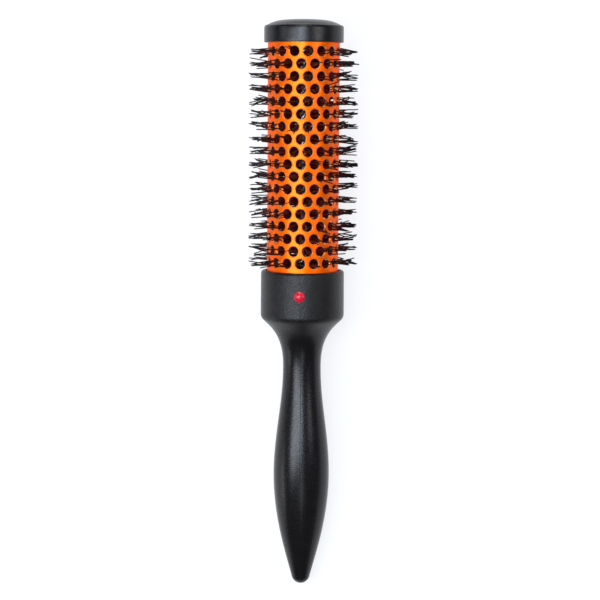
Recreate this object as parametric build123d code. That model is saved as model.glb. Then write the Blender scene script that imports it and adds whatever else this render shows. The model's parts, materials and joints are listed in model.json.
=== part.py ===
from build123d import *
import math
import os

# Round barrel hair brush: a moulded handle with a collar, a perforated metal barrel locked into
# it by a red pin, a domed end cap, and bristles held by two twisted wires along the axis.
# Every piece is first modelled upright: the brush's axis is Z, the grip's tip is at Z = 0 and
# the lock pin faces -Y. Then the whole brush is laid down as it rests on a flat surface, on its
# lowest bristles and the belly of its grip: the pin looks up and the cap points to +Y.

# ---- driving dimensions, in millimetres; heights are measured from the grip's tip ----
LENGTH = 264.0

# barrel and its holes
BARREL_R = 16.5
BARREL_WALL = 0.8
BARREL_FOOT = 131.2
BARREL_TOP = 257.0
ROWS = 18
HOLES_PER_ROW = 16
ROW_PITCH = 5.665
TOP_ROW = 249.2
HOLE_R = 2.3

# bristle bunches, one for each hole
BRISTLE_ROOT = 2.15
BRISTLE_TIP = 25.8
BUNCH_ROOT_WIDTH = 0.72
BUNCH_TIP_WIDTH = 2.4

# grip and collar of the handle
TIP_R = 4.4
TIP_FLARE = 15.0
NECK = (8.88, 101.6)
GRIP_THROUGH = [(8.87, 20.5), (11.7, 34.9), (13.06, 51.5), (11.63, 73.1), (9.38, 92.1), NECK]
FLARE_THROUGH = [(9.4, 110.8), (11.54, 117.5), (14.8, 122.3)]
FLARE_END = (18.28, 125.7)
COLLAR_R = 19.4
COLLAR_FOOT = 128.4
COLLAR_BAND_TOP = 135.2
COLLAR_TOP = 148.7
COLLAR_DRAFT = 0.1
COLLAR_ROUND = 1.3
RIM_R = 17.2
RIM_DEPTH = 2.2

# inside of the handle
SLIP = 0.05
SOCKET_FLOOR = 131.0
HUB_TOP = 149.2
HUB_CHAMFER = 0.6
PLUG_R = 11.0
PLUG_SEAT = 137.0
CORE_TOP_R = 5.6
CORE_END_R = 4.0
CORE_END = 24.0

# lock pin
PIN_HEIGHT = 138.1
PIN_SHANK_R = 1.5
PIN_HEAD_R = 2.45
PIN_HEAD_RISE = 0.95
PIN_HEAD_SINK = 0.7
PIN_END = 12.4

# end cap
CAP_R = 18.25
CAP_FOOT = 253.3
CAP_FOOT_ROUND = 0.4
SHOULDER_FOOT = 259.7
SHOULDER = (16.6, 261.4)
SHOULDER_BULGE = (17.8, 260.95)
TOP_EDGE = (16.45, 261.5)
TOP_SLOPE = (13.4, 262.83)
CROWN_EDGE = (10.0, 263.52)
SPIGOT_FOOT = 252.0
POCKET_TOP = 260.0
POCKET_R = 13.6
BOSS_R = 4.6
WIRE_HOLE_R = 2.05
WIRE_HOLE_TOP = 258.4

# twisted core wires
WIRE_R = 0.93
WIRE_OFFSET = 1.0
WIRE_TWIST = 12.0
WIRE_FOOT = 138.5
WIRE_TOP = 258.0

# plug around the lower end of the wires
PLUG_WALL = 1.8
PLUG_WEB = 2.0
PLUG_RIBS = 6
PLUG_RIB_WIDTH = 1.4


def turned(outline):
    """The solid of revolution of a closed (radius, height) outline about the brush's axis."""
    return revolve(Plane.XZ * make_face(outline), Axis.Z)


def ring(inner, outer, foot, top):
    """A plain ring, or a disc where inner is 0."""
    with_bore = Cylinder(outer, top - foot, align=(Align.CENTER, Align.CENTER, Align.MIN))
    if inner:
        with_bore -= Cylinder(inner, top - foot, align=(Align.CENTER, Align.CENTER, Align.MIN))
    return Pos(0, 0, foot) * with_bore


def radial(turn, height):
    """A frame on the brush's axis whose Z looks outwards, turned from the lock pin's side."""
    return Location((0, 0, height), (0, 0, turn)) * Location((0, 0, 0), (90, 0, 0))


def dome(edge, top):
    """The arc of a sphere centred on the axis, from its edge (radius, height) to its top."""
    rise = top - edge[1]
    sphere_r = (edge[0] ** 2 + rise ** 2) / (2 * rise)
    half = math.asin(edge[0] / sphere_r) / 2
    middle = (sphere_r * math.sin(half), top - sphere_r * (1 - math.cos(half)))
    return ThreePointArc(edge, middle, (0, top))


def row_height(row):
    return TOP_ROW - row * ROW_PITCH


def row_turn(row, hole):
    """Holes of neighbouring rows are staggered by half a pitch."""
    pitch = 360 / HOLES_PER_ROW
    return pitch * (hole + 0.5 * ((row + 1) % 2))


def pin_hole(slip):
    """The radial drilling that the lock pin's shank sits in."""
    depth = COLLAR_R + 1 - PIN_END
    drill = Cylinder(PIN_SHANK_R + slip, depth, align=(Align.CENTER, Align.CENTER, Align.MIN))
    return radial(0, PIN_HEIGHT) * Pos(0, 0, PIN_END - slip) * drill


def tip_end():
    """Where the grip's round tip runs into its side."""
    flare = math.radians(TIP_FLARE)
    return (TIP_R * math.cos(flare), TIP_R * (1 - math.sin(flare)))


def grip_side():
    """The side of the grip, from its tip through belly and neck to the collar's flare."""
    flare = math.radians(TIP_FLARE)
    return Spline(
        tip_end(), *GRIP_THROUGH, *FLARE_THROUGH, FLARE_END,
        tangents=[(math.sin(flare), math.cos(flare)), (1, 1)],
    )


def make_handle():
    tip_middle = (TIP_R * math.sin(math.pi / 4), TIP_R * (1 - math.cos(math.pi / 4)))
    rim_outside = (COLLAR_R - COLLAR_DRAFT, COLLAR_TOP - COLLAR_ROUND)
    rim_top = (rim_outside[0] - COLLAR_ROUND, COLLAR_TOP)
    outside = Curve() + [
        ThreePointArc((0, 0), tip_middle, tip_end()),
        grip_side(),
        TangentArc(FLARE_END, (COLLAR_R, COLLAR_FOOT), tangent=(1, 1)),
        Polyline((COLLAR_R, COLLAR_FOOT), (COLLAR_R, COLLAR_BAND_TOP), rim_outside),
        RadiusArc(rim_outside, rim_top, -COLLAR_ROUND),
    ]
    socket_r = BARREL_R + SLIP
    hub_r = BARREL_R - BARREL_WALL - SLIP
    plug_r = PLUG_R + SLIP
    inside = Polyline(
        rim_top,
        (RIM_R, COLLAR_TOP),
        (RIM_R, COLLAR_TOP - RIM_DEPTH),
        (socket_r, COLLAR_TOP - RIM_DEPTH),
        (socket_r, SOCKET_FLOOR),
        (hub_r, SOCKET_FLOOR),
        (hub_r, HUB_TOP - HUB_CHAMFER),
        (hub_r - HUB_CHAMFER, HUB_TOP),
        (plug_r, HUB_TOP),
        (plug_r, PLUG_SEAT),
        (CORE_TOP_R, PLUG_SEAT),
        (CORE_END_R, CORE_END),
        (0, CORE_END - CORE_END_R),
        (0, 0),
    )
    return turned(outside + inside) - pin_hole(SLIP) - pin_head_seat()


def pin_head_seat():
    """The shallow counterbore in the collar that the pin's head is pressed into."""
    seat = Cylinder(PIN_HEAD_R + SLIP, 3, align=(Align.CENTER, Align.CENTER, Align.MIN))
    return radial(0, PIN_HEIGHT) * Pos(0, 0, COLLAR_R - PIN_HEAD_SINK) * seat


def make_lock_pin():
    """A shank and a domed head, turned about the pin's own axis."""
    head = COLLAR_R - PIN_HEAD_SINK
    top = COLLAR_R + PIN_HEAD_RISE
    outline = Curve() + [
        Polyline((0, PIN_END), (PIN_SHANK_R, PIN_END), (PIN_SHANK_R, head), (PIN_HEAD_R, head)),
        Line((PIN_HEAD_R, head), (PIN_HEAD_R, COLLAR_R)),
        dome((PIN_HEAD_R, COLLAR_R), top),
        Line((0, top), (0, PIN_END)),
    ]
    return radial(0, PIN_HEIGHT) * turned(outline)


def make_barrel():
    """The tube, drilled right across so that one cut makes a hole and the one opposite."""
    tube = ring(BARREL_R - BARREL_WALL, BARREL_R, BARREL_FOOT, BARREL_TOP)
    drill = Cylinder(HOLE_R, 2 * BARREL_R + 2)
    drills = [
        radial(row_turn(row, hole), row_height(row)) * drill
        for row in range(ROWS)
        for hole in range(HOLES_PER_ROW // 2)
    ]
    return tube - drills - pin_hole(2 * SLIP)


def make_end_cap():
    socket_r = BARREL_R + SLIP
    spigot_r = BARREL_R - BARREL_WALL - SLIP
    foot_inside = (CAP_R - CAP_FOOT_ROUND, CAP_FOOT)
    foot_outside = (CAP_R, CAP_FOOT + CAP_FOOT_ROUND)
    inside = Polyline(
        (0, LENGTH),
        (0, WIRE_HOLE_TOP),
        (WIRE_HOLE_R, WIRE_HOLE_TOP),
        (WIRE_HOLE_R, SPIGOT_FOOT),
        (BOSS_R, SPIGOT_FOOT),
        (BOSS_R, POCKET_TOP),
        (POCKET_R, POCKET_TOP),
        (POCKET_R, SPIGOT_FOOT),
        (spigot_r, SPIGOT_FOOT),
        (spigot_r, BARREL_TOP + SLIP),
        (socket_r, BARREL_TOP + SLIP),
        (socket_r, CAP_FOOT),
        foot_inside,
    )
    outside = Curve() + [
        RadiusArc(foot_inside, foot_outside, -CAP_FOOT_ROUND),
        Line(foot_outside, (CAP_R, SHOULDER_FOOT)),
        ThreePointArc((CAP_R, SHOULDER_FOOT), SHOULDER_BULGE, SHOULDER),
        Line(SHOULDER, TOP_EDGE),
        ThreePointArc(TOP_EDGE, TOP_SLOPE, CROWN_EDGE),
        dome(CROWN_EDGE, LENGTH),
    ]
    return turned(inside + outside)


def make_core_plug():
    """A ring, a boss around the wires, a web across the top and ribs under it."""
    top = HUB_TOP - SLIP
    plug = ring(0, PLUG_R, top - PLUG_WEB, top)
    plug += ring(PLUG_R - PLUG_WALL, PLUG_R, PLUG_SEAT, top)
    plug += ring(0, BOSS_R, PLUG_SEAT, top)
    length = PLUG_R - BOSS_R
    rib = Box(length, PLUG_RIB_WIDTH, top - PLUG_SEAT - 1, align=(Align.MIN, Align.CENTER, Align.MIN))
    for turn in range(PLUG_RIBS):
        plug += Rot(0, 0, 360 / PLUG_RIBS * turn) * Pos(BOSS_R - 0.4, 0, PLUG_SEAT + 1) * rib
    return plug - ring(0, WIRE_HOLE_R, PLUG_SEAT - 1, top + 1)


def make_core_wire(side):
    """One strand of the twisted pair; side 0 and 1 are opposite each other."""
    path = Helix(WIRE_TWIST, WIRE_TOP - WIRE_FOOT, WIRE_OFFSET)
    section = Plane(path @ 0, z_dir=path % 0) * Circle(WIRE_R)
    strand = sweep(section, path, is_frenet=True)
    return Location((0, 0, WIRE_FOOT), (0, 0, 180 * side)) * strand


def make_bristle_row(row):
    """Sixteen bunches, each a slim tapered bar from the wires out through its hole."""
    bunch = loft(
        [
            Pos(0, 0, BRISTLE_ROOT) * Rectangle(BUNCH_ROOT_WIDTH, BUNCH_ROOT_WIDTH),
            Pos(0, 0, BRISTLE_TIP) * Rectangle(BUNCH_TIP_WIDTH, BUNCH_TIP_WIDTH),
        ]
    )
    return Compound(
        [radial(row_turn(row, hole), row_height(row)) * bunch for hole in range(HOLES_PER_ROW)]
    )


def resting_place():
    """Tilt and lift that put the lowest bristles and the belly of the grip on the floor Z = 0."""
    bristles = (BRISTLE_TIP, row_height(ROWS - 1) - BUNCH_TIP_WIDTH / 2)
    side = grip_side()
    steps = 2000
    tilt = min(
        math.atan2(bristles[0] - p.X, bristles[1] - p.Y)
        for p in (side @ (i / steps) for i in range(steps))
    )
    return tilt, bristles[0] * math.cos(tilt) - bristles[1] * math.sin(tilt)


def main():
    pieces = {
        "handle": make_handle(),
        "barrel": make_barrel(),
        "end_cap": make_end_cap(),
        "lock_pin": make_lock_pin(),
        "core_plug": make_core_plug(),
        "core_wire_a": make_core_wire(0),
        "core_wire_b": make_core_wire(1),
    }
    for row in range(ROWS):
        pieces[f"bristle_row_{row + 1:02d}"] = make_bristle_row(row)

    tilt, lift = resting_place()
    laid = Location((0, 0, lift), (-90 + math.degrees(tilt), 0, 0))
    boxes = [(laid * piece).bounding_box() for piece in pieces.values()]
    middle = (min(b.min.Y for b in boxes) + max(b.max.Y for b in boxes)) / 2
    print(f"tilt {math.degrees(tilt):.3f} degrees, tip of the grip {lift:.3f} above the floor")
    print(f"lowest point {min(b.min.Z for b in boxes):.4f}, shift along Y {-middle:.4f}")
    os.makedirs("parts", exist_ok=True)
    for name, piece in pieces.items():
        export_step(Pos(0, -middle, 0) * laid * piece, f"parts/{name}.step")


main()
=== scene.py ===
import json
import math

import bmesh
import bpy
import numpy as np
from mathutils import Matrix, Vector


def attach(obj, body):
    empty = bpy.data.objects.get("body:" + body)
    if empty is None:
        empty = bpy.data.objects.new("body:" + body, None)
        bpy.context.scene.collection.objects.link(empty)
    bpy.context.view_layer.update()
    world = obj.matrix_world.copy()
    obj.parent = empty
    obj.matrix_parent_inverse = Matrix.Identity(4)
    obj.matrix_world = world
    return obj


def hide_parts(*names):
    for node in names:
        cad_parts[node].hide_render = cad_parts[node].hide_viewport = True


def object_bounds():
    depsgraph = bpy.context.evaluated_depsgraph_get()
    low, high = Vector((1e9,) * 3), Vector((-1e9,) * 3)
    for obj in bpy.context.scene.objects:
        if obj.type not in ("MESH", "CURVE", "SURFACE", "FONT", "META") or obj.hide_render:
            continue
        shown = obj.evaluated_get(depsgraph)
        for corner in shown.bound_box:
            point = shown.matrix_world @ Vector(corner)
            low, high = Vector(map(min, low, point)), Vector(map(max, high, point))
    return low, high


# Round barrel brush, as it lies on a white table. The brush's lengths are in millimetres until
# they reach a mesh, and its shapes are made in its own frame: Z runs along its axis from the
# grip's tip, X is to the right and the lock pin faces -Y. MM turns millimetres into metres.
# The floor and the lights are placed in metres, in the frame shared with the CAD.
MM = 0.001

# ---- the brush's frame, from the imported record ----
BAND_HEIGHT = 131.8  # the collar mount's height above the grip's tip

# ---- handle ----
TIP_R = 4.4
TIP_INSET = 0.006  # keeps the smooth tip inside the faceted one
TIP_FLARE = 15.0  # degrees from the axis, where the round tip meets the grip
NECK = (8.88, 101.6)
GRIP_THROUGH = [(8.87, 20.5), (11.7, 34.9), (13.06, 51.5), (11.63, 73.1), (9.38, 92.1), NECK]
FLARE_THROUGH = [(9.4, 110.8), (11.54, 117.5), (14.8, 122.3)]
FLARE_END = (18.28, 125.7)
COLLAR_R = 19.4
COLLAR_FOOT = 128.4
COLLAR_TOP = 148.7
COLLAR_DRAFT = 0.1
COLLAR_ROUND = 1.3
RIM_R = 17.2
RIM_DEPTH = 2.2
RIM_EDGE_R = 0.25
PARTING_RIDGE = 0.06  # how far the mould line stands out
PARTING_WIDTH = 1.2  # degrees to each side

# ---- barrel ----
BARREL_R = 16.5
BARREL_WALL = 0.8
BARREL_FOOT = 131.2
BARREL_TOP = 257.0
ROWS = 18
HOLES_PER_ROW = 16
ROW_PITCH = 5.665
TOP_ROW = 249.2
HOLE_R = 2.3
LIP_R = 0.42  # rounding of each hole's outer edge
SLIP = 0.05  # between the barrel and what holds it
BEVEL = 0.2  # of the sockets' edges

# ---- end cap ----
CAP_R = 18.25
CAP_FOOT = 253.3
CAP_FOOT_ROUND = 0.4
CAP_SOCKET = 2.5  # how deep the socket is modelled, all that can be seen of it
SHOULDER_FOOT = 259.7
SHOULDER_THROUGH = (17.85, 260.9)
SHOULDER = (16.6, 261.4)
TOP_EDGE = (16.45, 261.5)
TOP_SLOPE = (13.4, 262.83)
CROWN_EDGE = (10.0, 263.52)
LENGTH = 264.0

# ---- lock pin ----
PIN_HEIGHT = 138.1
PIN_R = 2.45
PIN_RISE = 0.95
PIN_SUNK = 0.7  # how far its skirt reaches into the collar

# ---- bristles; pairs are (along the brush, sideways) ----
SEED = 20
FILAMENT_R = 0.265
FILAMENT_SIDES = 5
FILAMENT_STEPS = 34
FILAMENT_END = 0.6  # a tip's width, as a share of the filament's
FILAMENTS_PER_HOLE = [3, 4, 4, 5]  # one of these is drawn for each hole
BRISTLE_TIP = 25.4  # from the axis to a whole tip
BRISTLE_CORE = 1.3  # where filaments start, beside the core wires
CRIMP = 0.035  # how far a filament's waves swing
CRIMP_WAVE = 3.4  # the length of one wave
BUNCH_LEAN = (0.9, 0.6)  # standard deviation of a bunch's lean at its tip
TIP_SCATTER = 0.5  # standard deviation of a tip's place in its bunch
TIP_WEAR = 0.5  # how much is usually missing from a tip
BROKEN_SHARE = 0.22
BROKEN_LENGTH = (1.0, 4.5)  # from the least to the most
HOLE_ROOM = 0.12  # kept free beside a filament in its hole
TABLE_ROOM = 0.1  # kept free under a tip and in the box above it
CAUGHT = 3  # filaments for each hole that stay behind the wall
CAUGHT_STEPS = 10
CAUGHT_TURN = 11.2  # degrees to each side of the hole
CAUGHT_ROOM = 0.2  # kept free behind the wall

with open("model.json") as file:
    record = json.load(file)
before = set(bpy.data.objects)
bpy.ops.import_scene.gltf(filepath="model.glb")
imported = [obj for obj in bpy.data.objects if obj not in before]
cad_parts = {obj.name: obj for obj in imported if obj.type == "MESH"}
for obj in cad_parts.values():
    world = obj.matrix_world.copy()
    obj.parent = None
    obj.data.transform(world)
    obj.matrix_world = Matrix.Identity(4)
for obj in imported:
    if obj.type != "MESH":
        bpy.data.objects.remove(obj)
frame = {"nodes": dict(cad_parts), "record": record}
cad_box = [list(corner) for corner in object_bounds()]


def brush_matrix():
    """From the brush's own frame, in metres, to the frame shared with the CAD."""
    band = next(m for m in frame["record"]["mounts"] if m["name"] == "collar_band")
    along = -Vector(band["axis"]).normalized()
    right = Vector((1, 0, 0))
    tip = Vector(band["pos_m"]) - along * BAND_HEIGHT * MM
    turn = Matrix((right, along.cross(right), along)).transposed()
    return Matrix.Translation(tip) @ turn.to_4x4()


BRUSH = brush_matrix()


# ------------------------------------------------------------------ geometry helpers
def spline(points, start, end, steps):
    """A cubic spline through the points, with the given end directions, as steps + 1 points."""
    p = np.array(points, float)
    gap = np.linalg.norm(np.diff(p, axis=0), axis=1)
    n = len(p)
    smooth = np.zeros((n, n))
    aim = np.zeros((n, 2))
    smooth[0, 0] = smooth[-1, -1] = 1
    aim[0] = np.array(start) / np.linalg.norm(start)
    aim[-1] = np.array(end) / np.linalg.norm(end)
    for i in range(1, n - 1):
        before, after = gap[i - 1], gap[i]
        smooth[i, i - 1 : i + 2] = after, 2 * (before + after), before
        aim[i] = 3 * (before / after * (p[i + 1] - p[i]) + after / before * (p[i] - p[i - 1]))
    slope = np.linalg.solve(smooth, aim)
    knots = np.concatenate([[0], np.cumsum(gap)])
    t = np.linspace(0, knots[-1], steps + 1)
    k = np.clip(np.searchsorted(knots, t, side="right") - 1, 0, n - 2)
    u = ((t - knots[k]) / gap[k])[:, None]
    width = gap[k][:, None]
    return (
        (2 * u**3 - 3 * u**2 + 1) * p[k]
        + (u**3 - 2 * u**2 + u) * width * slope[k]
        + (3 * u**2 - 2 * u**3) * p[k + 1]
        + (u**3 - u**2) * width * slope[k + 1]
    )


def arc(centre, radius, first, last, steps):
    """Points on a circle in the (radius, height) plane, angles in degrees from +radius."""
    a = np.radians(np.linspace(first, last, steps + 1))
    return np.stack([centre[0] + radius * np.cos(a), centre[1] + radius * np.sin(a)], axis=1)


def dome(edge_r, rise, top):
    """The arc of a shallow dome, from its edge to its top on the axis."""
    sphere_r = (edge_r**2 + rise**2) / (2 * rise)
    half = math.degrees(math.asin(edge_r / sphere_r))
    return arc((0, top - sphere_r), sphere_r, 90 - half, 90, 12)


def lathe(outline, turns):
    """Turns a (radius, height) outline about Z at the given angles, measured from -Y towards +X."""
    outline = np.array(outline, float)
    a = np.radians(turns)
    x = outline[:, 0][None, :] * np.sin(a)[:, None]
    y = -outline[:, 0][None, :] * np.cos(a)[:, None]
    z = np.repeat(outline[:, 1][None, :], len(a), axis=0)
    verts = np.stack([x, y, z], axis=2).reshape(-1, 3)
    m = len(outline)
    faces = []
    for i in range(len(a)):
        j = (i + 1) % len(a)
        for k in range(m - 1):
            faces.append((i * m + k, j * m + k, j * m + k + 1, i * m + k + 1))
    return verts, faces


def between_rings(low, high, n):
    """Faces between two closed rings of n points, whose first points have the numbers low and high."""
    return [(low + i, low + (i + 1) % n, high + (i + 1) % n, high + i) for i in range(n)]


def make_piece(name, verts, faces, material, node, sharp, thin_coat_and_painted_highlight=None):
    """A mesh from points in millimetres in the brush's frame, which stands for one CAD node.

    Edges stay crisp where the faces meet at more than sharp degrees. The last argument marks, point
    by point, where the lacquer is thin; the paler colour there is also a painted highlight.
    """
    verts = np.asarray(verts, float) * MM
    mesh = bpy.data.meshes.new(name)
    mesh.from_pydata(verts, [], faces)
    local = mesh.attributes.new("brush_co", "FLOAT_VECTOR", "POINT")
    local.data.foreach_set("vector", (verts / MM).astype(np.float32).ravel())
    if thin_coat_and_painted_highlight is not None:
        mesh.attributes.new("thin_coat_and_painted_highlight", "FLOAT", "POINT").data.foreach_set("value", thin_coat_and_painted_highlight)
    mesh.transform(BRUSH)
    piece = bpy.data.objects.new(name, mesh)
    bpy.context.scene.collection.objects.link(piece)
    weld(piece)
    mesh.polygons.foreach_set("use_smooth", [True] * len(mesh.polygons))
    mesh.set_sharp_from_angle(angle=math.radians(sharp))
    mesh.materials.append(material)
    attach(piece, "root")
    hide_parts(node)


def weld(piece):
    """Joins points that lie on each other and makes the faces look outwards."""
    bm = bmesh.new()
    bm.from_mesh(piece.data)
    bmesh.ops.remove_doubles(bm, verts=bm.verts, dist=2e-6)
    bmesh.ops.dissolve_degenerate(bm, edges=bm.edges, dist=1e-7)
    bmesh.ops.recalc_face_normals(bm, faces=bm.faces)
    bm.to_mesh(piece.data)
    bm.free()


# ------------------------------------------------------------------ materials
class Nodes:
    """A small helper that builds one material's node tree, for a new piece or for a CAD node."""

    def __init__(self, name, on_cad=False):
        self.on_cad = on_cad
        self.material = bpy.data.materials.new(name)
        self.material.use_nodes = True
        self.tree = self.material.node_tree
        self.shader = self.tree.nodes["Principled BSDF"]

    def add(self, kind, settings=(), **inputs):
        """A new node; an input's name has an underscore for each space."""
        node = self.tree.nodes.new(kind)
        for key, value in dict(settings).items():
            setattr(node, key, value)
        for key, value in inputs.items():
            self.put(node, key.replace("_", " "), value)
        return node

    def put(self, node, socket, value):
        """Links or sets an input, which is given by its name or, in digits, by its number."""
        target = node.inputs[int(socket)] if socket.isdigit() else node.inputs[socket]
        if isinstance(value, bpy.types.NodeSocket):
            self.tree.links.new(value, target)
        else:
            target.default_value = value

    def set(self, **inputs):
        """Links or sets inputs of the material's shader."""
        for key, value in inputs.items():
            self.put(self.shader, key.replace("_", " "), value)

    def place(self):
        """The point in millimetres, in the brush's frame or, on a CAD node, in the shared one."""
        if not self.on_cad:
            return self.add("ShaderNodeAttribute", {"attribute_name": "brush_co"}).outputs["Vector"]
        metres = self.add("ShaderNodeTexCoord").outputs["Object"]
        scaled = self.add("ShaderNodeVectorMath", {"operation": "SCALE"}, Vector=metres, Scale=1 / MM)
        return scaled.outputs["Vector"]

    def height(self):
        """How far the point is from the grip's tip, along the brush, on a new piece."""
        return self.add("ShaderNodeSeparateXYZ", Vector=self.place()).outputs["Z"]

    def from_axis(self):
        """How far the point is from the brush's axis, on a new piece."""
        flat = self.add("ShaderNodeVectorMath", {"operation": "MULTIPLY"})
        self.put(flat, "0", self.place())
        self.put(flat, "1", (1, 1, 0))
        length = self.add("ShaderNodeVectorMath", {"operation": "LENGTH"}, Vector=flat.outputs["Vector"])
        return length.outputs["Value"]

    def noise(self, scale, detail, roughness=0.55):
        """A noise from 0 to 1 in the given number of spots for each millimetre."""
        node = self.add("ShaderNodeTexNoise", Scale=scale, Detail=detail, Roughness=roughness)
        self.put(node, "Vector", self.place())
        return node.outputs["Fac"]

    def span(self, value, low, high, to_low, to_high):
        """Maps low to high onto to_low to to_high, and holds the ends."""
        node = self.add("ShaderNodeMapRange")
        for index, v in enumerate((value, low, high, to_low, to_high)):
            self.put(node, str(index), v)
        return node.outputs["Result"]

    def math(self, operation, a, b):
        node = self.add("ShaderNodeMath", {"operation": operation})
        self.put(node, "0", a)
        self.put(node, "1", b)
        return node.outputs[0]

    def mix(self, share, first, second):
        """Blends two colours, each a linked one or three numbers."""
        node = self.add("ShaderNodeMix", {"data_type": "RGBA"})
        self.put(node, "0", share)
        for index, colour in (("6", first), ("7", second)):
            linked = isinstance(colour, bpy.types.NodeSocket)
            self.put(node, index, colour if linked else (*colour, 1))
        return node.outputs[2]

    def bump(self, height, distance, strength=1.0):
        """Relief of the given depth in metres."""
        node = self.add("ShaderNodeBump", Height=height, Distance=distance, Strength=strength)
        return node.outputs["Normal"]


HELD_BELOW = (116.0, 127.0)  # hands smooth the handle's grain below the collar
HELD_RELIEF = 0.25  # the share of its depth that they leave
PAINTED_BOUNCE_UNTIL = (16.0, 21.0)  # where the painted orange bounce light on the bristles fades, from the axis


def grained_plastic(name, dark, light, roughness, grain, depth, shine, polish=0.0, on_cad=False):
    """Black moulded plastic: a spark-eroded grain, faint mottling and a few handling rubs.

    grain is in spots for each millimetre and depth in metres. polish is how much less rough it
    is where hands hold it, and with it the grain is flatter there.
    """
    n = Nodes(name, on_cad)
    mottle = n.noise(0.16, detail=5)
    speck = n.noise(grain, detail=2, roughness=0.6)
    rub = n.span(n.noise(0.45, detail=6, roughness=0.7), 0.56, 0.75, 0.0, -0.05)
    matt = n.span(speck, 0.3, 0.7, roughness - 0.05, roughness + 0.06)
    rough = n.math("ADD", matt, rub)
    relief = speck
    if polish:
        rough = n.math("ADD", rough, n.span(n.height(), *HELD_BELOW, -polish, 0.0))
        relief = n.math("MULTIPLY", speck, n.span(n.height(), *HELD_BELOW, HELD_RELIEF, 1.0))
    n.set(
        Base_Color=n.mix(n.span(mottle, 0.35, 0.65, 0.0, 1.0), dark, light),
        Roughness=rough,
        Normal=n.bump(relief, depth),
    )
    n.shader.inputs["Specular IOR Level"].default_value = shine
    return n.material


def orange_coat(name):
    """Orange lacquer over aluminium, which tints what it reflects and is thin in the holes, where its
    paler colour is partly a painted highlight.
    """
    n = Nodes(name)
    cloud = n.span(n.noise(0.3, detail=4), 0.35, 0.65, 0.0, 1.0)
    peel = n.noise(1.4, detail=2)
    fleck = n.span(n.noise(11.0, detail=1), 0.35, 0.65, 0.0, 1.0)
    lacquer = n.mix(cloud, (1.0, 0.122, 0.0008), (1.0, 0.15, 0.0014))
    thin_and_painted_highlight = n.add("ShaderNodeAttribute", {"attribute_name": "thin_coat_and_painted_highlight"}).outputs["Fac"]
    bare_and_painted_highlight = n.math("MULTIPLY", thin_and_painted_highlight, n.span(n.noise(0.5, detail=3), 0.35, 0.65, 0.1, 0.85))
    n.set(
        # the pale lip colour is partly thin lacquer and partly a painted highlight
        Base_Color=n.mix(bare_and_painted_highlight, lacquer, (1.0, 0.62, 0.3)),
        Roughness=n.math("ADD", n.span(peel, 0.3, 0.7, 0.36, 0.42), n.math("MULTIPLY", fleck, 0.03)),
        Normal=n.bump(peel, 0.00002, 0.6),
    )
    n.shader.inputs["Metallic"].default_value = 0.62
    n.shader.inputs["Specular IOR Level"].default_value = 0.35
    n.shader.inputs["Specular Tint"].default_value = (1.0, 0.22, 0.02, 1.0)
    n.shader.inputs["Coat Weight"].default_value = 0.1
    n.shader.inputs["Coat Roughness"].default_value = 0.2
    return n.material


def nylon(name):
    """Black bristle nylon, with dark red painted in and near the barrel for the orange light that the
    barrel throws on it.
    """
    n = Nodes(name)
    tone = n.span(n.noise(0.8, detail=3), 0.35, 0.65, 0.0, 1.0)
    black = n.mix(tone, (0.003, 0.0026, 0.003), (0.008, 0.0065, 0.0075))
    # the dark red is painted light, the barrel's orange glow on the bristles, full inside the barrel and
    # fading out beyond it
    painted_orange_bounce = n.mix(tone, (0.075, 0.005, 0.004), (0.13, 0.008, 0.006))
    n.set(
        Base_Color=n.mix(n.span(n.from_axis(), *PAINTED_BOUNCE_UNTIL, 1.0, 0.0), black, painted_orange_bounce),
        Roughness=n.span(n.noise(3.0, detail=3), 0.3, 0.7, 0.34, 0.48),
        Normal=n.bump(n.noise(6.0, detail=2), 0.00003, 0.5),
    )
    n.shader.inputs["Specular IOR Level"].default_value = 0.2
    return n.material


def red_gloss(name):
    """Glossy red of the pin, very slightly uneven."""
    n = Nodes(name)
    tone = n.span(n.noise(1.2, detail=3), 0.35, 0.65, 0.0, 1.0)
    n.set(
        Base_Color=n.mix(tone, (0.44, 0.0015, 0.014), (0.55, 0.0025, 0.022)),
        Roughness=n.span(n.noise(2.5, detail=4), 0.3, 0.7, 0.26, 0.34),
        Normal=n.bump(n.noise(0.9, detail=2), 0.00003, 0.5),
    )
    n.shader.inputs["Specular IOR Level"].default_value = 0.4
    n.shader.inputs["Coat Weight"].default_value = 0.2
    n.shader.inputs["Coat Roughness"].default_value = 0.2
    return n.material


def drawn_wire(name):
    """Galvanised steel wire, cloudy and finely scratched."""
    n = Nodes(name, on_cad=True)
    tone = n.span(n.noise(0.9, detail=4), 0.35, 0.65, 0.0, 1.0)
    n.set(
        Base_Color=n.mix(tone, (0.42, 0.42, 0.44), (0.66, 0.66, 0.68)),
        Roughness=n.span(n.noise(2.5, detail=3), 0.3, 0.7, 0.22, 0.38),
        Normal=n.bump(n.noise(4.0, detail=2), 0.00002, 0.6),
    )
    n.shader.inputs["Metallic"].default_value = 1.0
    return n.material


# ------------------------------------------------------------------ handle
def grip_outline():
    """From the tip, along the grip and out over the flare to the collar's foot."""
    tip_way = math.radians(TIP_FLARE)
    tip = arc((0, TIP_R), TIP_R - TIP_INSET, -90, -TIP_FLARE, 14)
    side = spline(
        [tip[-1], *GRIP_THROUGH, *FLARE_THROUGH, FLARE_END],
        (math.sin(tip_way), math.cos(tip_way)),
        (1, 1),
        150,
    )
    # the flare ends at 45 degrees, and an arc turns from there into the collar's wall
    corner_r = (COLLAR_R - FLARE_END[0]) / (1 - math.cos(math.radians(45)))
    corner = arc((COLLAR_R - corner_r, COLLAR_FOOT), corner_r, -45, 0, 8)
    return np.concatenate([tip, side[1:-1], corner])


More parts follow.
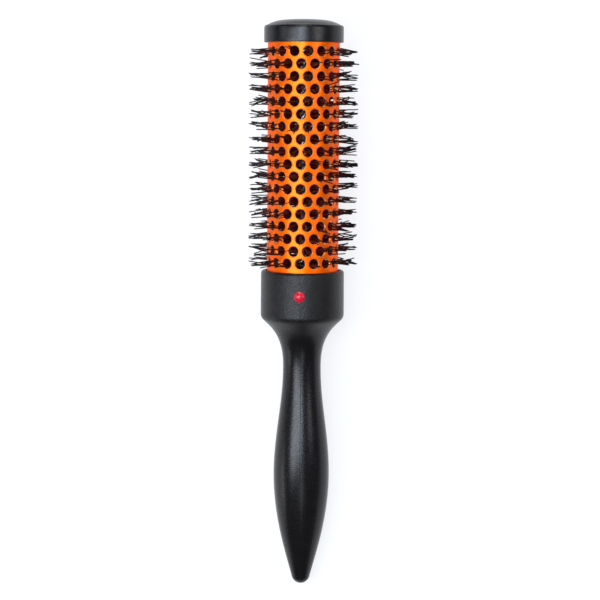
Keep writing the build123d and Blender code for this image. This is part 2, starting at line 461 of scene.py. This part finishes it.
def collar_outline():
    """Up the collar's slightly drafted wall and round its top edge."""
    rim = COLLAR_R - COLLAR_DRAFT
    wall_top = COLLAR_TOP - COLLAR_ROUND
    wall = np.linspace((COLLAR_R, COLLAR_FOOT), (rim, wall_top), 24)[1:-1]
    top = arc((rim - COLLAR_ROUND, wall_top), COLLAR_ROUND, 0, 90, 8)
    return np.concatenate([wall, top])


def seat_outline():
    """The rim's inner edge, the recess round the barrel, and the socket that the barrel sits in."""
    edge = arc((RIM_R + RIM_EDGE_R, COLLAR_TOP - RIM_EDGE_R), RIM_EDGE_R, 90, 180, 4)
    floor = COLLAR_TOP - RIM_DEPTH
    recess = [(RIM_R, floor + BEVEL), (RIM_R - BEVEL, floor)]
    socket_r = BARREL_R + SLIP
    socket = [(socket_r, floor), (socket_r, BARREL_FOOT - BEVEL)]
    return np.concatenate([edge, recess, socket])


def mould_turns():
    """Angles round the handle, closer together at the two mould lines."""
    w = PARTING_WIDTH
    near = [-3 * w, -2 * w, -1.3 * w, -w, -0.5 * w, 0.0, 0.5 * w, w, 1.3 * w, 2 * w, 3 * w]
    half = near + list(np.arange(6.0, 175.0, 3.0))
    return np.array(half + [a + 180 for a in half])


def make_handle():
    """The turned moulding, shaved back everywhere but on its two parting lines."""
    outside = np.concatenate([grip_outline(), collar_outline()])
    outline = np.concatenate([outside, seat_outline()])
    turns = mould_turns()
    verts, faces = lathe(outline, turns)
    off = np.abs((turns + 90) % 180 - 90)
    ridge = PARTING_RIDGE * np.clip(1 - off / PARTING_WIDTH, 0, 1)
    # the lines fade out at the tip, between 4 and 1 mm from the axis
    share = np.zeros(len(outline))
    share[: len(outside)] = np.clip((outside[:, 0] - 1) / 3, 0, 1)
    r = outline[:, 0][None, :] + (ridge[:, None] - PARTING_RIDGE) * share[None, :]
    verts[:, :2] *= (r / np.maximum(outline[:, 0], 1e-6)[None, :]).reshape(-1, 1)
    make_piece("handle_moulding", verts, faces, BLACK_HANDLE, "handle", 30)


# ------------------------------------------------------------------ barrel
def row_height(row):
    """The height of a row of holes; row 0 is the one nearest the cap."""
    return TOP_ROW - row * ROW_PITCH


def hole_turn(row, hole):
    """A hole's angle in degrees; each row is turned half a pitch from the next."""
    return 360 / HOLES_PER_ROW * (hole + 0.5 * ((row + 1) % 2))


def cell_loop(upright, across):
    """Round one hole's cell, as shares of half its width and half its height.

    Each side has upright steps, and the top and the bottom have twice across steps.
    """
    side = np.linspace(-1, 1, upright + 1)[:-1]
    run = np.linspace(-1, 1, 2 * across + 1)[:-1]
    right = [(1, s) for s in side]
    top = [(-s, 1) for s in run]
    left = [(-1, -s) for s in side]
    bottom = [(s, -1) for s in run]
    return np.array(right + top + left + bottom)


def make_barrel():
    """A staggered net of cells, one for each hole, each with a rounded outer lip and an inner wall."""
    upright = 6
    across = 4
    loop = cell_loop(upright, across)
    half_w = math.pi * BARREL_R / HOLES_PER_ROW
    half_h = ROW_PITCH / 2
    edge = loop * (half_w, half_h)
    way = np.arctan2(edge[:, 1], edge[:, 0])
    ring = np.stack([np.cos(way), np.sin(way)], axis=1)
    lip = HOLE_R + LIP_R
    inner_r = BARREL_R - BARREL_WALL
    # each ring is a flat loop round the hole and its distance from the barrel's axis
    between = edge * 0.35 + ring * lip * 0.65
    rings = [(edge, BARREL_R), (between, BARREL_R), (ring * (lip + 0.1), BARREL_R)]
    for a in np.radians((0, 22.5, 45, 67.5, 90)):
        sunk = LIP_R * (1 - math.cos(a))
        rings.append((ring * (lip - LIP_R * math.sin(a)), BARREL_R - sunk))
    rings += [(ring * HOLE_R, inner_r), (edge, inner_r)]
    # from this ring inwards the lacquer is thin, and its paler colour is partly a painted highlight
    thin_and_highlight_from = 5  # the ring halfway round the lip
    n = len(loop)
    verts, faces, thin_and_painted_highlight = [], [], []
    for row in range(ROWS):
        for hole in range(HOLES_PER_ROW):
            base = len(verts) * n
            turn = math.radians(hole_turn(row, hole))
            for k, (flat, radius) in enumerate(rings):
                a = turn + flat[:, 0] / BARREL_R
                z = row_height(row) + flat[:, 1]
                verts.append(np.stack([radius * np.sin(a), -radius * np.cos(a), z], axis=1))
                thin_and_painted_highlight += [1.0 if k >= thin_and_highlight_from else 0.0] * n
                if k:
                    faces += between_rings(base + (k - 1) * n, base + k * n, n)
    verts = np.concatenate(verts)
    # the barrel's plain ends, whose points meet those on the net's borders
    turns = np.arange(2 * HOLES_PER_ROW * across) * 180 / (HOLES_PER_ROW * across)
    top = row_height(0) + half_h
    bottom = row_height(ROWS - 1) - half_h
    for start, stop in ((top, BARREL_TOP), (bottom, BARREL_FOOT)):
        steps = np.linspace(start, stop, 5)
        outline = [(BARREL_R, z) for z in steps] + [(inner_r, z) for z in steps[::-1]]
        more, quads = lathe(outline, turns)
        faces += [tuple(i + len(verts) for i in q) for q in quads]
        verts = np.concatenate([verts, more])
        thin_and_painted_highlight += [0.0] * len(more)
    make_piece("barrel_tube", verts, faces, ORANGE, "barrel", 50, thin_and_painted_highlight)


# ------------------------------------------------------------------ end cap
def make_end_cap():
    """A short drum with a rounded shoulder and a nearly flat, softly crowned top."""
    socket_r = BARREL_R + SLIP
    mouth = [(socket_r, CAP_FOOT + BEVEL), (socket_r + BEVEL, CAP_FOOT)]
    wall_foot = CAP_FOOT + CAP_FOOT_ROUND
    foot = arc((CAP_R - CAP_FOOT_ROUND, wall_foot), CAP_FOOT_ROUND, -90, 0, 5)
    wall = [(CAP_R, z) for z in np.linspace(wall_foot, SHOULDER_FOOT, 6)[1:-1]]
    shoulder = spline([(CAP_R, SHOULDER_FOOT), SHOULDER_THROUGH, SHOULDER], (0, 1), (-1, 0.35), 10)
    groove = [(SHOULDER[0] - 0.05, SHOULDER[1] - 0.1)]
    slope = spline([TOP_EDGE, TOP_SLOPE, CROWN_EDGE], (-1, 0.55), (-1, 0.1), 16)[:-1]
    crown = dome(CROWN_EDGE[0], LENGTH - CROWN_EDGE[1], LENGTH)
    inside = [(socket_r, CAP_FOOT + CAP_SOCKET), *mouth]
    outline = np.concatenate([inside, foot, wall, shoulder, groove, slope, crown])
    verts, faces = lathe(outline, np.arange(0, 360, 2.5))
    make_piece("end_cap_dome", verts, faces, BLACK_CAP, "end_cap", 35)


# ------------------------------------------------------------------ lock pin
def make_pin():
    """A domed head with a small skirt, turned about the pin's own axis."""
    skirt = [(PIN_R - 0.1, -PIN_SUNK), (PIN_R, 0.1 - PIN_SUNK), (PIN_R, -0.1)]
    outline = np.concatenate([skirt, dome(PIN_R, PIN_RISE, PIN_RISE)])
    verts, faces = lathe(outline, np.arange(0, 360, 7.5))
    # the pin's own height becomes -Y, outwards from the axis
    verts = np.stack([verts[:, 0], -(COLLAR_R + verts[:, 2]), PIN_HEIGHT + verts[:, 1]], axis=1)
    make_piece("lock_pin_head", verts, faces, RED, "lock_pin", 35)


# ------------------------------------------------------------------ bristles
def reach(turn, low, high):
    """How far out a bristle may end, wherever it stands between two heights along the brush.

    Its length, the table under it and the top of the CAD's box limit it.
    """
    turned = BRUSH.to_3x3()
    outwards = turned @ Vector((math.sin(turn), -math.cos(turn), 0))
    room = [BRISTLE_TIP]
    for height in (low, high):
        foot = (BRUSH.translation + turned @ Vector((0, 0, height)) * MM) / MM
        # a nearly level bristle meets neither the table nor the top of the box
        if outwards.z < -0.1:
            room.append((foot.z - FILAMENT_R - TABLE_ROOM) / -outwards.z)
        if outwards.z > 0.1:
            room.append((cad_box[1][2] / MM - foot.z - FILAMENT_R - TABLE_ROOM) / outwards.z)
    return min(room)


def strand(turn, height, knots, sides, steps, rng):
    """A crimped centreline; knots are distances from the axis and sides the offsets there."""
    r = np.linspace(knots[0], knots[-1], steps + 1)
    side = np.stack([np.interp(r, knots, [s[i] for s in sides]) for i in (0, 1)], axis=1)
    # spreads the bend at the wall over a few steps
    for _ in range(3):
        side[1:-1] = side[:-2] / 4 + side[1:-1] / 2 + side[2:] / 4
    lean = rng.uniform(0, math.pi)
    phase = rng.uniform(0, 2 * math.pi)
    wave = CRIMP * rng.uniform(0.5, 1.4) * np.sin(2 * math.pi * r / CRIMP_WAVE + phase)
    side += wave[:, None] * np.array([math.cos(lean), math.sin(lean)])
    out = np.array([math.sin(turn), -math.cos(turn), 0])
    tangent = np.array([math.cos(turn), math.sin(turn), 0])
    up = np.array([0, 0, 1.0])
    return r[:, None] * out + side[:, 1:2] * tangent + (height + side[:, 0:1]) * up


def filament(rng, turn, height, bunch):
    """One filament, from between the core wires out through its hole, leaning with its bunch."""
    wall = BARREL_R - BARREL_WALL / 2
    room = HOLE_R - FILAMENT_R - HOLE_ROOM
    way = rng.uniform(0, 2 * math.pi)
    at_wall = room * math.sqrt(rng.uniform(0.15, 1.0)) * np.array([math.cos(way), math.sin(way)])
    # pressed flat between the wires; at the tip on its own side of the bunch, or across it
    at_core = at_wall * (rng.uniform(0.9, 1.5), 0.1)
    at_tip = at_wall * rng.uniform(-0.4, 0.9) + bunch + rng.normal(0, TIP_SCATTER, 2)
    limit = reach(turn, height + min(at_tip[0], at_wall[0]), height + max(at_tip[0], at_wall[0]))
    short = abs(rng.normal(0, TIP_WEAR))
    if rng.random() < BROKEN_SHARE:
        short += rng.uniform(*BROKEN_LENGTH)
    knots = [BRISTLE_CORE, wall, limit - short]
    return strand(turn, height, knots, [at_core, at_wall, at_tip], FILAMENT_STEPS, rng)


def caught_filament(rng, turn, height):
    """A filament of the core that met the wall between two holes and stayed inside."""
    wall = BARREL_R - BARREL_WALL - FILAMENT_R - CAUGHT_ROOM
    turn += math.radians(rng.uniform(-CAUGHT_TURN, CAUGHT_TURN))
    end = rng.uniform(0.72, 1.0) * wall
    along = rng.uniform(-ROW_PITCH / 2, ROW_PITCH / 2)
    sides = [(along, 0.0), (along * 1.1 + rng.normal(0, 0.3), rng.normal(0, 0.4))]
    return strand(turn, height, [BRISTLE_CORE, end], sides, CAUGHT_STEPS, rng)


def tube(path, radius, sides):
    """A closed tube round a path, narrower at its tip."""
    ahead = np.gradient(path, axis=0)
    ahead /= np.linalg.norm(ahead, axis=1)[:, None]
    askew = (0.13, 0.21, 0.97)  # no filament runs this way
    aside = np.cross(ahead, askew)
    aside /= np.linalg.norm(aside, axis=1)[:, None]
    over = np.cross(ahead, aside)
    a = np.arange(sides) * 2 * math.pi / sides
    widths = np.full(len(path), radius)
    widths[-1] *= FILAMENT_END
    circle = np.cos(a)[None, :, None] * aside[:, None, :] + np.sin(a)[None, :, None] * over[:, None, :]
    rings = path[:, None, :] + widths[:, None, None] * circle
    last = (len(path) - 1) * sides
    faces = []
    for low in range(0, last, sides):
        faces += between_rings(low, low + sides, sides)
    faces.append(tuple(range(sides))[::-1])
    faces.append(tuple(last + i for i in range(sides)))
    return rings.reshape(-1, 3), faces


def make_bristle_row(row):
    """All filaments of one row of holes, as one piece."""
    rng = np.random.default_rng(SEED + row)
    height = row_height(row)
    paths = []
    for hole in range(HOLES_PER_ROW):
        turn = math.radians(hole_turn(row, hole))
        bunch = rng.normal(0, BUNCH_LEAN)
        for _ in range(rng.choice(FILAMENTS_PER_HOLE)):
            paths.append(filament(rng, turn, height, bunch))
        for _ in range(CAUGHT):
            paths.append(caught_filament(rng, turn, height))
    tubes = []
    faces = []
    count = 0
    for path in paths:
        points, sides = tube(path, FILAMENT_R, FILAMENT_SIDES)
        faces += [tuple(i + count for i in side) for side in sides]
        tubes.append(points)
        count += len(points)
    number = f"{row + 1:02d}"
    verts = np.concatenate(tubes)
    make_piece(f"bristles_{number}", verts, faces, NYLON, f"bristle_row_{number}", 60)


# ------------------------------------------------------------------ CAD nodes that stay
def dress_node(name, material):
    """Gives a CAD node its material; its shape stays as it is."""
    node = frame["nodes"][name]
    node.data.materials.clear()
    node.data.materials.append(material)


# ------------------------------------------------------------------ stage
FLOOR_HALF = 3.0  # metres


def make_floor():
    """A white table that also glows a little, like a light table in a product studio."""
    h = FLOOR_HALF
    mesh = bpy.data.meshes.new("floor")
    mesh.from_pydata([(-h, -h, 0), (h, -h, 0), (h, h, 0), (-h, h, 0)], [], [(0, 1, 2, 3)])
    floor = bpy.data.objects.new("floor", mesh)
    bpy.context.scene.collection.objects.link(floor)
    n = Nodes("white_table")
    n.set(Base_Color=(0.18, 0.18, 0.183, 1), Roughness=0.8)
    n.shader.inputs["Specular IOR Level"].default_value = 0.1
    n.shader.inputs["Emission Color"].default_value = (0.965, 0.975, 1, 1)
    n.shader.inputs["Emission Strength"].default_value = 0.82
    mesh.materials.append(n.material)


def softbox(name, place, aim, size, power, colour=(1, 1, 1)):
    """An oval area light at a place in metres, aimed at a point on the brush."""
    light = bpy.data.lights.new(name, "AREA")
    light.shape = "ELLIPSE"
    light.size, light.size_y = size
    light.energy = power
    light.color = colour
    lamp = bpy.data.objects.new(name, light)
    bpy.context.scene.collection.objects.link(lamp)
    lamp.location = place
    lamp.rotation_mode = "QUATERNION"
    lamp.rotation_quaternion = (Vector(aim) - Vector(place)).to_track_quat("-Z", "Y")


def light_scene():
    """Soft boxes to the left, overhead and beyond the cap, with weaker ones round the brush."""
    cool = (0.86, 0.9, 1.0)
    blue = (0.78, 0.88, 1.0)
    pale = (0.9, 0.95, 1.0)
    softbox("key", (-0.43, -0.13, 0.86), (0, -0.03, 0.02), (0.33, 0.60), 5.5, cool)
    softbox("overhead", (-0.05, 0.02, 1.25), (-0.05, 0.02, 0.02), (0.46, 0.62), 8.6, blue)
    softbox("front_fill", (0.08, -0.60, 1.10), (0, -0.05, 0.02), (0.40, 0.36), 0.85, pale)
    softbox("right_fill", (0.60, 0.09, 0.64), (0, 0.05, 0.02), (0.34, 0.40), 1.5)
    softbox("left_fill", (-0.80, 0.18, 0.58), (0, 0.08, 0.02), (0.30, 0.30), 0.7)
    softbox("left_strip", (-0.90, -0.32, 0.16), (0, -0.08, 0.02), (0.40, 0.24), 0.7)
    softbox("far_fill", (0, 0.85, 0.60), (0, 0.1, 0.02), (0.6, 0.35), 4.5)
    world = bpy.data.worlds.new("studio")
    world.use_nodes = True
    background = world.node_tree.nodes["Background"]
    background.inputs["Color"].default_value = (0.95, 0.97, 1, 1)
    background.inputs["Strength"].default_value = 0.15
    bpy.context.scene.world = world
    bpy.context.scene.view_settings.view_transform = "Standard"


# ------------------------------------------------------------------ camera
CAMERA_LENS = 110.0
CAMERA_SENSOR = 36.0
CAMERA_DISTANCE = 853.0
CAMERA_AIM = 134.65  # height on the brush's axis, above the grip's tip
CAMERA_LEAN = 6.5  # degrees from square to the axis, towards the cap
CAMERA_SWING = 4.0  # degrees round the brush's axis, towards +X
CAMERA_ROLL = 0.36  # degrees
CAMERA_ASIDE = -1.07  # how far it aims to the right of the axis


def make_camera():
    """Looks down on the brush, a little from the right of the pin and from the cap's side."""
    data = bpy.data.cameras.new("camera")
    data.lens = CAMERA_LENS
    data.sensor_width = CAMERA_SENSOR
    camera = bpy.data.objects.new("camera", data)
    bpy.context.scene.collection.objects.link(camera)
    along = BRUSH.to_3x3() @ Vector((0, 0, 1))
    aim = BRUSH @ Vector((CAMERA_ASIDE * MM, 0, CAMERA_AIM * MM))
    swing = Matrix.Rotation(math.radians(CAMERA_SWING), 3, along)
    lean = math.radians(CAMERA_LEAN)
    square = swing @ BRUSH.to_3x3() @ Vector((0, -1, 0))
    back = square * math.cos(lean) + along * math.sin(lean)
    side = along.cross(back).normalized()
    turn = Matrix((side, back.cross(side), back)).transposed()
    turn = turn @ Matrix.Rotation(math.radians(CAMERA_ROLL), 3, "Z")
    camera.matrix_world = Matrix.Translation(aim + back * CAMERA_DISTANCE * MM) @ turn.to_4x4()
    bpy.context.scene.camera = camera


# ------------------------------------------------------------------ everything together
BLACK_HANDLE = grained_plastic(
    "handle_black",
    dark=(0.0028, 0.0024, 0.0029),
    light=(0.0042, 0.0037, 0.0044),
    roughness=0.33,
    grain=1.7,
    depth=0.00021,
    shine=0.3,
    polish=0.07,
)
BLACK_CAP = grained_plastic(
    "cap_black",
    dark=(0.0018, 0.0018, 0.003),
    light=(0.003, 0.003, 0.0046),
    roughness=0.29,
    grain=2.6,
    depth=0.00004,
    shine=0.33,
)
BLACK_PLUG = grained_plastic(
    "plug_black",
    dark=(0.003, 0.003, 0.0033),
    light=(0.005, 0.005, 0.0055),
    roughness=0.5,
    grain=4.2,
    depth=0.0000125,
    shine=0.3,
    on_cad=True,
)
ORANGE = orange_coat("barrel_orange")
NYLON = nylon("bristle_black")
RED = red_gloss("pin_red")
STEEL = drawn_wire("wire_steel")

make_handle()
make_barrel()
make_end_cap()
make_pin()
for row in range(ROWS):
    make_bristle_row(row)
dress_node("core_wire_a", STEEL)
dress_node("core_wire_b", STEEL)
dress_node("core_plug", BLACK_PLUG)
make_floor()
light_scene()
make_camera()
